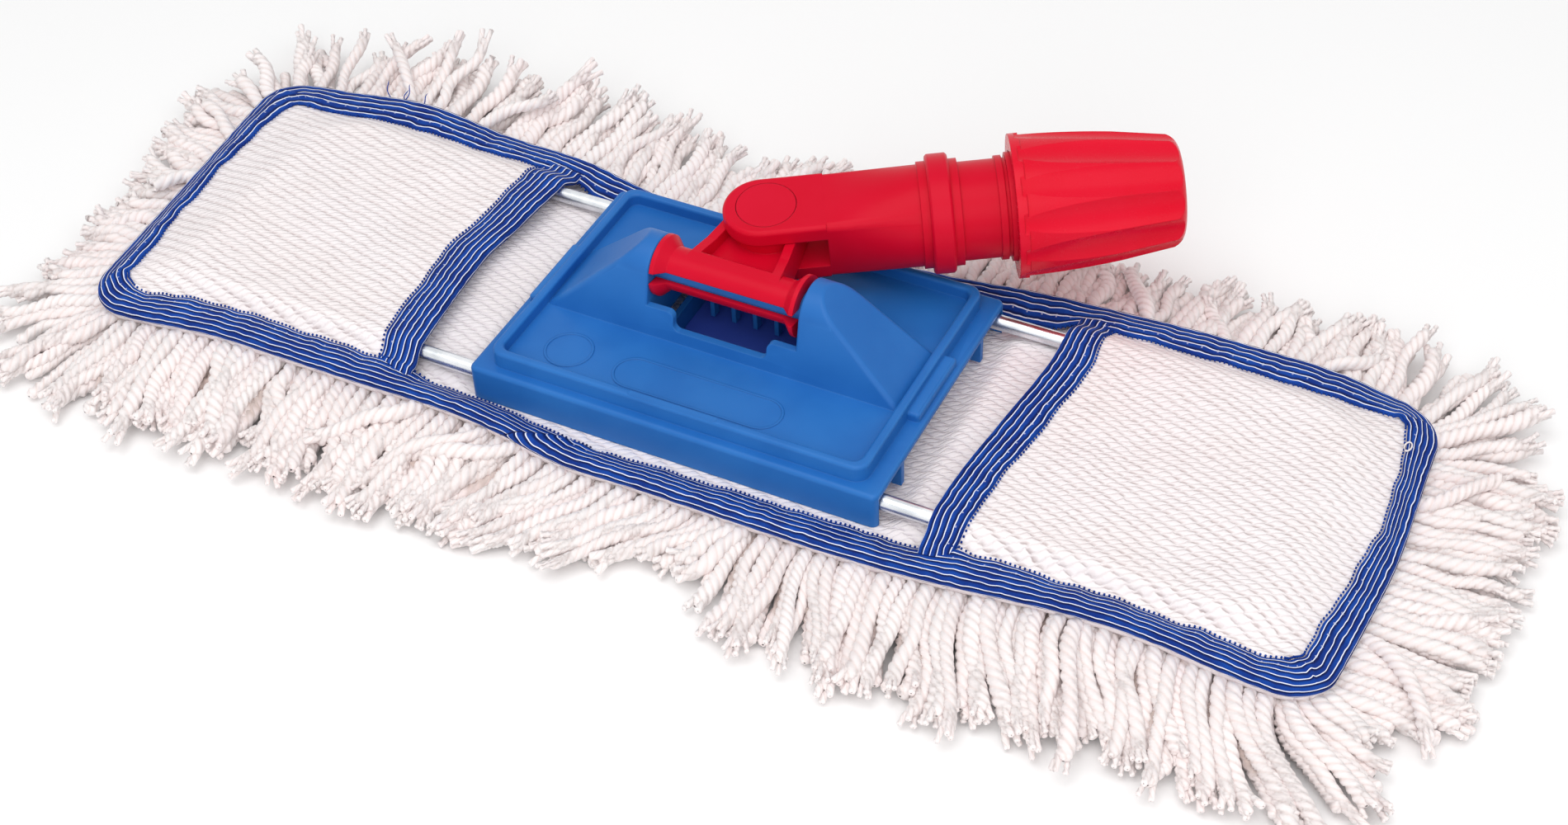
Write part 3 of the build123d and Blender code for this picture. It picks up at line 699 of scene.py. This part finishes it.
# The tape's width round the pad: (x, y, millimetres) at places on the outline
width_table = [
    (-10, -69, 10), (20, -69, 11), (80, -69, 12.5), (110, -69, 10.5), (130, -69, 9.7),
    (190, -69, 9), (225, -50, 10.5), (225, -25, 9), (225, 10, 7), (225, 35, 7.5),
    (222, 60, 11), (190, 69, 13.5), (150, 69, 12.5), (0, 69, 12), (-180, 69, 13),
    (-200, 69, 15), (-220, 64, 15.5), (-225, 45, 11), (-225, 10, 9.5), (-225, -25, 10),
    (-225, -45, 12), (-205, -69, 9), (-170, -69, 10.5), (-110, -69, 10), (-85, -69, 13),
    (-60, -69, 12), (-30, -69, 10),
]


def tape_section(width, top_inner, top_outer, bottom, fold):
    """A tape folded round an edge at n = 0: n and z of its outside and inside, and distances across it."""
    count = len(width)
    share = np.linspace(0, 1, top_points)
    top_n = -width[:, None] + (width - fold)[:, None] * share
    top_z = top_inner[:, None] * (1 - share) + top_outer * share + tape_crown * np.sin(np.pi * share)
    angle = np.linspace(np.pi / 2, -np.pi / 2, fold_points + 2)[1:-1]
    middle, reach = (top_outer + bottom) / 2, (top_outer - bottom) / 2
    fold_n = np.tile(-fold + fold * np.cos(angle), (count, 1))
    fold_z = np.tile(middle + reach * np.sin(angle), (count, 1))
    under_n = -fold - (under_share * width - fold)[:, None] * np.linspace(0, 1, under_points)
    outer_n = np.concatenate([top_n, fold_n, under_n], 1)
    outer_z = np.concatenate([top_z, fold_z, np.full((count, under_points), bottom)], 1)
    inner_n = np.minimum(outer_n, -tape_thickness)
    inner_z = np.clip(outer_z, bottom + tape_thickness, top_outer - tape_thickness)
    inner_z[:, :top_points] = outer_z[:, :top_points] - tape_thickness
    steps = np.hypot(np.diff(outer_n, axis=1), np.diff(outer_z, axis=1)).mean(0)
    across = np.concatenate([[0], np.cumsum(steps)])
    return outer_n, outer_z, inner_n, inner_z, across


def out_and_back(outside, inside):
    """Rows of values along the tape's outside and back along its inside."""
    return np.concatenate([outside, inside[..., ::-1]], -1)


def picot(ring, u):
    """The small loops along the tape's free edge, as knots just off its first line."""
    out = ring[:, 0] - ring[:, 1]
    out /= np.linalg.norm(out, axis=1, keepdims=True)
    return beads(ring[:, 0] + picot_reach * out, picot_radius, u, picot_tone * stripe_pitch)


def tape_object(name, ring, along, across, knots, closed=False):
    """A folded tape from its rings, with knots at some of them."""
    v = np.append(out_and_back(across, across), across[0])
    u = np.append(along, perimeter) if closed else along
    parts = [tube(ring, u, v, closed), picot(ring[knots], along[knots])]
    return mesh_object(name, *joined(parts), material=tape, slot="binding_tape")


def edge_binding():
    """The tape folded round the pad's edge: it rises over the pockets and laps at the front."""
    count = 2 * int(perimeter / picot_pitch)
    s = np.arange(count) * perimeter / count
    point, _, normal = outline(s)
    width = round_table(width_table, s, 6.0) + wander(s, 12, [(31, 0.4), (13, 0.25)])
    inner = point - normal * width[:, None]
    on_pocket = smooth(*tape_climb, np.abs(point[:, 0]) - mouth)
    on_cloth = cloth_top + tape_rise + wander(s, 11, [(23, 0.2), (9, 0.12)])
    on_panel = pocket_height(np.abs(inner[:, 0]), inner[:, 1]) + tape_thickness + tape_gap
    top_inner = on_cloth + (on_panel - on_cloth) * on_pocket
    section = tape_section(width, top_inner, tape_outer_top, tape_bottom, edge_fold)
    n, outer_z, inner_n, inner_z, across = section
    puff = wander(s, 13, [(17, 0.22), (7.5, 0.14)])[:, None]
    outer_z = outer_z + puff * np.sin(np.pi * np.clip(-n / width[:, None], 0, 1))
    past_lap = s[:, None] - lap_place + lap_slant * across
    lap = lap_height * smooth(*lap_starts, past_lap) * smooth(*lap_ends, past_lap)
    outer_z[:, 1:] += lap[:, 1:]
    xy = point[:, None] + normal[:, None] * n[..., None]
    over_panel = pocket_height(np.abs(xy[..., 0]), xy[..., 1]) + tape_thickness + tape_gap
    raised = np.maximum(over_panel - outer_z, 0)[:, :top_points] * on_pocket[:, None]
    outer_z[:, :top_points] += raised
    inner_z[:, :top_points] += raised
    xy = point[:, None] + normal[:, None] * out_and_back(n, inner_n)[..., None]
    ring = lie(np.concatenate([xy, out_and_back(outer_z, inner_z)[..., None]], -1))
    piece = tape_object("edge_tape", ring, s, across, slice(None, None, 2), closed=True)
    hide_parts("edge_binding")
    return piece


def pocket_strap(side):
    """Tape folded over the mouth of a pocket, from binding to binding."""
    reach = half_width - strap_inset
    count = 2 * int(2 * reach / picot_pitch)
    y = np.linspace(-reach, reach, count)
    start, width = mouth_line(side, y)
    width = width + wander(y, 21 + signs[side], [(37, 0.4), (17, 0.2)])
    height = pocket_height(start + width / 2, y)
    lift = height - height.max()
    top = height.max() + strap_rise
    section = tape_section(width, np.full(count, top), top, top - strap_height, strap_fold)
    n, outer_z, inner_n, inner_z, across = section
    x = signs[side] * (start[:, None] - out_and_back(n, inner_n))
    z = out_and_back(outer_z, inner_z) + lift[:, None]
    ring = lie(np.stack([x, np.tile(y[:, None], (1, x.shape[1])), z], -1))
    piece = tape_object("strap_" + side, ring, y, across, slice(bare_rings, -bare_rings, 2))
    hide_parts("pocket_strap_" + side)
    return piece


# Yarn sections: the radius round a strand, as shares of its own
plies = np.tile([0.86, 1.0, 1.05, 1.0], ply_count)
loop_plies = np.tile([0.85, 1.05], ply_count)
single = np.ones(6)

# How many rings make a low strand, an upper strand, a frayed tip and a loop
low_rings, upper_rings, tip_rings, loop_rings = 18, 44, 9, 14

# How much of its path a low and an upper strand covers, and how much of its end is frayed
low_share, upper_share, frayed_share = 0.86, 0.94, 0.2

# Where a strand's rounded tip starts, and the last rings in it
tip_start = 0.95
tip_shares = [0.973, 0.99, 1.0]

# Pitches in millimetres
twist_pitch = 10.0
clump_pitch = 9.5
loop_pitch = 4.6

# How much painted shade darkens the upper sides of the strands under the front fringe, and where along and
# round them
front_painted_shade = 1.6
painted_shade_along = (0.85, 0.6)
painted_shade_round = (-0.3, 0.5)


def ring_shares(rings):
    """Where the rings of a strand lie along it: close together at its tip, which is rounded."""
    return np.concatenate([np.linspace(0, tip_start, rings - len(tip_shares)), tip_shares])


def along_path(paths, shares):
    """Paths of evenly spaced points, read at other shares of their length."""
    place = np.clip(shares, 0, 1) * (paths.shape[1] - 1)
    low = np.minimum(place.astype(int), paths.shape[1] - 2)
    return paths[:, low] + (paths[:, low + 1] - paths[:, low]) * (place - low)[:, None]


def cross_ways(paths):
    """Two directions across paths: one level and one upright."""
    ahead = np.gradient(paths, axis=1)
    ahead /= np.linalg.norm(ahead, axis=-1, keepdims=True)
    nearly_up = [0.05, 0.03, 1.0]
    level = np.cross(ahead, nearly_up)
    level /= np.linalg.norm(level, axis=-1, keepdims=True)
    return level, np.cross(level, ahead)


def strands(paths, radius, tint, around=plies, painted_shade=0.0):
    """Points, quads, UV map and tints of twisted strands: paths are an array of strand, ring and place.

    Painted shade darkens the upper side of strands that lie below others, except near their tips.
    """
    count, rings = paths.shape[:2]
    sides = len(around)
    level, upright = cross_ways(paths)
    steps = np.linalg.norm(np.diff(paths, axis=1), axis=-1)
    length = np.concatenate([np.zeros((count, 1)), np.cumsum(steps, 1)], 1)
    share = ring_shares(rings)
    swell = 1 + 0.07 * np.sin(9 * share + rng.uniform(0, 6, (count, 1)))
    in_tip = np.clip((share - tip_start) / (1 - tip_start), 0, 1)
    swell = swell * np.sqrt(np.clip(1.02 - in_tip**2, 0, 1))
    pitch = twist_pitch * rng.uniform(0.85, 1.2, (count, 1))
    turn = rng.uniform(0, 2 * np.pi, (count, 1)) + 2 * np.pi * length / pitch
    angle = 2 * np.pi * np.arange(sides) / sides + turn[..., None]
    size = (radius[:, None] * swell)[..., None] * around
    sideways = np.cos(angle)[..., None] * level[:, :, None]
    upwards = np.sin(angle)[..., None] * upright[:, :, None]
    points = paths[:, :, None] + size[..., None] * (sideways + upwards)
    i, j = ring_faces(rings, sides)
    quads = i * sides + j % sides
    faces = (np.arange(count)[:, None, None] * rings * sides + quads).reshape(-1, 4)
    uv = np.tile(np.stack([length.mean(0)[i], j / sides], -1), (count, 1, 1))
    # Painted shade, taken off the tint of the strands' upper sides.
    shade = painted_shade * smooth(*painted_shade_along, share)[:, None] * smooth(*painted_shade_round, np.sin(angle))
    return points.reshape(-1, 3), faces, uv, (tint[:, None, None] - shade).ravel()


def frayed_tips(paths, radius, tint):
    """The ends of strands, opened into thin plies."""
    count = len(paths)
    parts = []
    share = ring_shares(tip_rings)
    tips = along_path(paths, (1 - frayed_share) + frayed_share * share)
    level, upright = cross_ways(tips)
    for ply in range(ply_count):
        angle = 2 * np.pi * ply / ply_count + rng.uniform(0, 2, (count, 1))
        apart = radius[:, None] * (0.45 + rng.uniform(0.1, 1.0, (count, 1)) * share**1.5)
        ways = np.cos(angle)[..., None] * level + np.sin(angle)[..., None] * upright
        ends = tips + apart[..., None] * ways
        ends[..., 2] = np.maximum(ends[..., 2], 0.7 * strand_radius)
        parts.append(strands(ends, radius * rng.uniform(0.38, 0.52, count), tint, single))
    return parts


def yarn_object(name, parts, material=yarn):
    return mesh_object(name, *joined(parts), material=material, slot="cotton_yarn")


# How the fringe falls round the pad: (x, y, value) at places on its outline. A positive lean, in degrees, is
# anticlockwise from above, so that the front fringe leans towards +X.
lean_table = [
    (0, -69, -44), (28, -69, -52), (36, -69, 6), (70, -69, 18), (140, -69, 21), (180, -69, 25),
    (200, -69, 38), (209, -69, 48), (216, -67, 38), (220, -64.3, 28), (223.5, -59, 0),
    (225, -50, -9), (225, -30, -4), (225, 0, 5), (225, 55, 10), (205, 69, 2), (105, 69, -3),
    (35, 69, -5), (-35, 69, -8), (-70, 69, 0), (-105, 69, -8), (-140, 69, -8), (-175, 69, 3),
    (-208, 69, 12), (-225, 50, -8), (-225, 30, 4), (-225, 10, 14), (-225, -25, 20),
    (-225, -50, 32), (-208, -69, -8), (-185, -69, 5), (-140, -69, 14), (-105, -69, 9),
    (-70, -69, -10), (-35, -69, -28),
]

# The yarn's length past the edge, in millimetres
length_table = [
    (0, -69, 42), (22, -69, 42), (29, -69, 20), (33, -69, 22), (39, -69, 41), (105, -69, 43),
    (175, -69, 41), (205, -69, 43), (218, -66, 41), (222, -62, 12), (224.5, -56, 15),
    (225, -50, 42), (225, -30, 40), (225, 0, 37), (225, 40, 41), (205, 69, 41), (175, 69, 35),
    (140, 69, 39), (105, 69, 32), (35, 69, 40), (-35, 69, 46), (-105, 69, 43), (-140, 69, 42),
    (-175, 69, 40), (-208, 69, 41), (-220, 64, 42), (-225, 50, 35), (-225, 25, 31),
    (-225, 0, 29), (-225, -25, 25), (-225, -50, 33), (-208, -69, 41), (-140, -69, 39),
    (-70, -69, 41), (-35, -69, 39),
]

# How far the tips stand off the floor, in millimetres, and how tousled the strands are
rise_table = [
    (0, -69, 0), (225, 0, 1), (205, 69, 5), (140, 69, 4), (100, 69, 2), (0, 69, 4), (-70, 69, 6),
    (-110, 69, 12), (-165, 69, 19), (-205, 69, 15), (-225, 50, 7), (-225, 10, 5),
    (-225, -40, 2),
]
tousle_table = [
    (0, -69, 0.9), (190, -69, 0.8), (225, 0, 0.8), (100, 69, 1.2), (-150, 69, 1.3),
    (-225, 0, 1.4), (-205, -69, 1.7), (-120, -69, 1.6), (-60, -69, 1.0),
]

# The fringe's layers from the lowest, in millimetres: height of the roots and space between strands
root_heights = [2.8, 5.0, 7.1]
strand_spacing = [3.8, 4.6, 5.2]
root_depth = 7.0

# How low a strand's middle may lie, and how far inside the edge the pad carries it, in millimetres
lowest_middle = 1.19 * strand_radius
carried_inset = 3

# How many points a path has, and how clumps of strands differ in lean, in degrees, and in length
path_points = 61
clump_stray = 4.5
clump_shares = 0.08


def fringe_paths(s, layer, spread, extra_lean=0.0, lift=0.0):
    """Strand centrelines from under the tape out and down to the floor, as evenly spaced points."""
    count = len(s)
    share = np.linspace(0, 1, path_points)
    point, tangent, normal = outline(s)

    def own(low, high):
        """A random value of its own for each strand."""
        return rng.uniform(low, high, (count, 1))

    clump = s + wander(s, 41 + layer, [(53, 3), (29, 2)])
    number = np.round(clump / clump_pitch).astype(int)
    to_clump = (number * clump_pitch - clump)[:, None]
    clump_lean, clump_length = np.random.default_rng(51).normal(0, 1, (2, number.max() + 2))[:, number]
    tousle = round_table(tousle_table, s, 10.0)
    stray = wander(s, 31 + layer, [(23, 4), (47, 5)]) + clump_stray * clump_lean
    stray = stray + rng.normal(0, spread, count)
    lean = (round_table(lean_table, s, 2.5) + extra_lean + tousle * stray)[:, None]
    usual = round_table(length_table, s, 3.0) * (1 + clump_shares * clump_length)
    total = usual[:, None] * own(0.87, 1.09) + root_depth
    angle = np.radians(lean * smooth(0.0, 0.45, share) + rng.normal(0, 10, (count, 1)) * share**2)
    step = total / (path_points - 1)
    out = np.cumsum(np.cos(angle) * step, 1) - root_depth
    along = np.cumsum(np.sin(angle) * step, 1)
    along = along + to_clump * own(0.1, 0.8) * smooth(0.25, 0.9, share)
    swing = tousle[:, None] * own(0.3, 1.7) * np.sin(2 * np.pi * (own(1.0, 1.8) * share + own(0, 1)))
    along = along + swing * smooth(0.12, 0.5, share)
    flat = point[:, None] + normal[:, None] * out[..., None] + tangent[:, None] * along[..., None]

    tip = strand_radius + own(0.0, 1.3) + 1.5 * layer
    z = root_heights[layer] + (tip - root_heights[layer]) * smooth(0.12, 0.95, share)
    rise = round_table(rise_table, s, 6.0)[:, None] * own(0.2, 1.1) * (0.35 + 0.35 * layer)
    z = z + rise * share**1.6 + lift * np.sin(np.pi * share)
    wave = own(0.2, 1.2) * np.sin(2 * np.pi * (1.3 * share + own(0, 1)))
    z = z + wave * smooth(0.2, 0.6, share) * (0.7 if layer else 0.1)

    rest = np.concatenate([point - normal * carried_inset, np.zeros((count, 1))], 1)
    shift = (lie(rest) - rest)[:, None]
    paths = np.concatenate([flat, z[..., None]], -1)
    paths[..., :2] += shift[..., :2] * (1 - 0.4 * share)[:, None]
    paths[..., 2] += shift[..., 2] * (1 - 0.9 * smooth(0.2, 1.0, share))
    paths[..., 2] = np.maximum(paths[..., 2], lowest_middle)
    return paths


def stray_strands():
    """Strands that lie across the others or fill a parting: (x, y, lean) of their roots."""
    places = [
        (-50, -69, -58), (-62, -69, -50), (-88, -69, -44), (-15, 69, -52), (-22, 69, -46),
        (-30, 69, -40), (-8, 69, -56), (-180, 69, 44), (-150, 69, -42), (-225, 35, -36),
        (-225, 10, 34), (225, 30, 38), (225, -30, -40), (120, 69, 36), (180, 69, -38),
        (142, -69, 2), (147, -69, -4),
    ]
    s = np.array([at(x, y) for x, y, lean in places])
    leans = np.array(places)[:, 2]
    return s, fringe_paths(s, 2, spread=3.0, extra_lean=leans, lift=4.0)


def fringe():
    """The loose yarn round the pad, in layers, as several pieces."""
    corner = half_length - corner_radius
    front_left, front_right = at(-corner, -half_width), at(corner, -half_width)
    back_right, back_left = at(corner, half_width), at(-corner, half_width)
    back_middle = at(0, half_width)
    spans = [
        ("front_a", front_left, perimeter, "fringe_front"),
        ("front_b", 0, front_right, "fringe_front"),
        ("right", front_right, back_right, "fringe_right"),
        ("back_b", back_right, back_middle, "fringe_back"),
        ("back_a", back_middle, back_left, "fringe_back"),
        ("left", back_left, front_left, "fringe_left"),
    ]
    bundles = []
    for layer, spacing in enumerate(strand_spacing):
        count = int(perimeter / spacing)
        s = (np.arange(count) + rng.uniform(-0.35, 0.35, count)) * perimeter / count % perimeter
        bundles.append((s, fringe_paths(s, layer, spread=4.5), layer))
    bundles.append((*stray_strands(), 2))
    pieces = []
    for label, low, high, node in spans:
        parts = []
        for s, paths, layer in bundles:
            here = paths[(s >= low) & (s < high)]
            tint = np.clip(rng.normal(0.6, 0.22, len(here)), 0, 1)
            radius = strand_radius * rng.uniform(0.82, 1.14, len(here))
            if layer == 0:
                shorter = along_path(here, low_share * ring_shares(low_rings))
                # Painted shade on the upper sides of the lowest front strands.
                painted_shade = front_painted_shade if node == "fringe_front" else 0.0
                parts.append(strands(shorter, radius, tint, single, painted_shade))
            else:
                shorter = along_path(here, upper_share * ring_shares(upper_rings))
                parts.append(strands(shorter, radius, tint))
                parts += frayed_tips(here, radius, tint)
        piece = yarn_object("yarn_" + label, parts)
        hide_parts(node)
        pieces.append(piece)
    return pieces


# The sewn rows: how many, how far their loops keep from the ends, and their gap over the floor
row_count = 5
row_margin = 2
row_gap = 0.1


def yarn_rows():
    """Looped yarn sewn in rows under the pad."""
    pieces = []
    for number in range(1, row_count + 1):
        low, high = box_mm(f"yarn_row_{number}")
        count = int((high[0] - low[0]) / loop_pitch)
        x = np.linspace(low[0] + row_margin, high[0] - row_margin, count)
        x = x + rng.uniform(-0.8, 0.8, count)
        share = ring_shares(loop_rings)
        room = high[1] - low[1] - 2 * strand_radius
        y = low[1] + strand_radius + room * share + rng.uniform(-0.6, 0.6, (count, 1))
        drop = np.sin(np.pi * share) ** 0.5
        depth = (yarn_top - strand_radius - row_gap) * drop * rng.uniform(0.86, 1.0, (count, 1))
        z = yarn_top - depth
        lean = rng.normal(0, 1.2, (count, 1)) * np.sin(np.pi * share)
        paths = np.stack([x[:, None] + lean, y, z], -1)
        tint = np.clip(rng.normal(0.55, 0.22, count), 0, 1)
        radius = strand_radius * rng.uniform(0.88, 1.05, count)
        piece = yarn_object(f"yarn_loops_{number}", [strands(paths, radius, tint, loop_plies)])
        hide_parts(f"yarn_row_{number}")
        pieces.append(piece)
    return pieces


def thread_piece(name, paths, radius, tint, material=yarn):
    """Thin threads along paths, all alike."""
    count = len(paths)
    parts = [strands(paths, np.full(count, radius), np.full(count, tint), single)]
    return yarn_object(name, parts, material)


def loose_threads():
    """A few blue thread ends on the back of the tape, and a white loop at its right end."""
    share = np.linspace(0, 1, 16)
    root_y, root_z, out = 70.5, 17.5, 4
    ends = []
    for x, reach, climb in ((-186, -5, 8), (-183, 4, 9), (-180, -2, 6), (-176, 5, 7)):
        sideways = reach * share + 1.2 * np.sin(5 * share + x)
        ends.append(np.stack([x + sideways, root_y + out * share, root_z + climb * share**0.8], -1))
    blue = thread_piece("thread_ends", np.array(ends), radius=0.22, tint=0.5, material=thread)
    angle = np.linspace(-0.4, 2 * np.pi - 0.6, 20)
    across, along = np.sin(angle), np.cos(angle)
    loop_middle = [217.3, 44, 20.2]
    loop = np.stack([1.1 * across, -2.6 * along, 0.4 * along], -1) + loop_middle
    white = thread_piece("thread_loop", loop[None], radius=0.28, tint=0.8)
    return [blue, white]


rows = yarn_rows()
backing = pad_backing()
binding = edge_binding()
panels = [pocket_panel(side) for side in signs]
straps = [pocket_strap(side) for side in signs]
fringes = fringe()
threads = loose_threads()

panel_size = (half_length - panel_inset - mouth, 2 * (half_width - panel_inset))
for panel, strap, bow in zip(panels, straps, ("wire_bow_right", "wire_bow_left")):
    panel_size[0] * MM
    panel_size[1] * MM


# Stage, light and camera
def floor():
    """A wide pale floor."""
    size = 6.0
    corners = [(-size, -size, 0), (size, -size, 0), (size, size, 0), (-size, size, 0)]
    mesh = bpy.data.meshes.new("floor")
    mesh.from_pydata(corners, [], [(0, 1, 2, 3)])
    mesh.materials.append(new_shader("floor").finish(Base_Color=(0.97, 0.97, 0.97, 1), Roughness=0.9))
    placed("floor", mesh)


def lamp(name, power, size, place, towards):
    """A round soft lamp, in watts and metres."""
    data = bpy.data.lights.new(name, "AREA")
    data.energy = power
    data.shape = "DISK"
    data.size = size
    obj = placed(name, data)
    obj.location = place
    obj.rotation_euler = (Vector(towards) - Vector(place)).to_track_quat("-Z", "Y").to_euler()


def sky(strength):
    """Even light from all round, which the camera, gloss and glass see as white."""
    world = bpy.data.worlds.new("sky")
    bpy.context.scene.world = world
    shader = Shader(world, Color=(1, 1, 1, 1))
    seen = shader.value("Is Camera Ray", "LightPath")
    for ray in ("Is Glossy Ray", "Is Transmission Ray"):
        seen = shader.math("MAXIMUM", seen, shader.value(ray, "LightPath"))
    shader.finish(Strength=seen * (1 - strength) + strength)


def photo_camera():
    """The camera fitted to the photo: place in metres, turns in degrees, focal length in its pixels."""
    place = Vector((0.2962, -0.5250, 0.5553))
    yaw, pitch, roll = np.radians([-28.11, 43.31, -2.52])
    focal, image_width = 2883.3, 1900
    sensor_width = 36.0
    ahead = np.array([np.sin(yaw) * np.cos(pitch), np.cos(yaw) * np.cos(pitch), -np.sin(pitch)])
    right = np.array([np.cos(yaw), -np.sin(yaw), 0])
    up = np.cross(right, ahead)
    right, up = right * np.cos(roll) + up * np.sin(roll), up * np.cos(roll) - right * np.sin(roll)
    data = bpy.data.cameras.new("photo_camera")
    data.sensor_fit = "HORIZONTAL"
    data.sensor_width = sensor_width
    data.lens = sensor_width * focal / image_width
    obj = placed("photo_camera", data)
    turn = Matrix((right, up, -ahead)).transposed().to_4x4()
    obj.matrix_world = Matrix.Translation(place) @ turn
    bpy.context.scene.camera = obj


floor()
sky(strength=0.55)
lamp("key", power=9.4, size=1.3, place=(-0.15, -0.4, 1.65), towards=(0, 0, 0))
lamp("front", power=6.6, size=1.2, place=(0.4, -1.25, 1.0), towards=(0, 0, 0.02))
lamp("fill", power=4.2, size=1.4, place=(1.0, -0.25, 1.25), towards=(0, 0, 0.03))
photo_camera()
bpy.context.scene.view_settings.view_transform = "Standard"
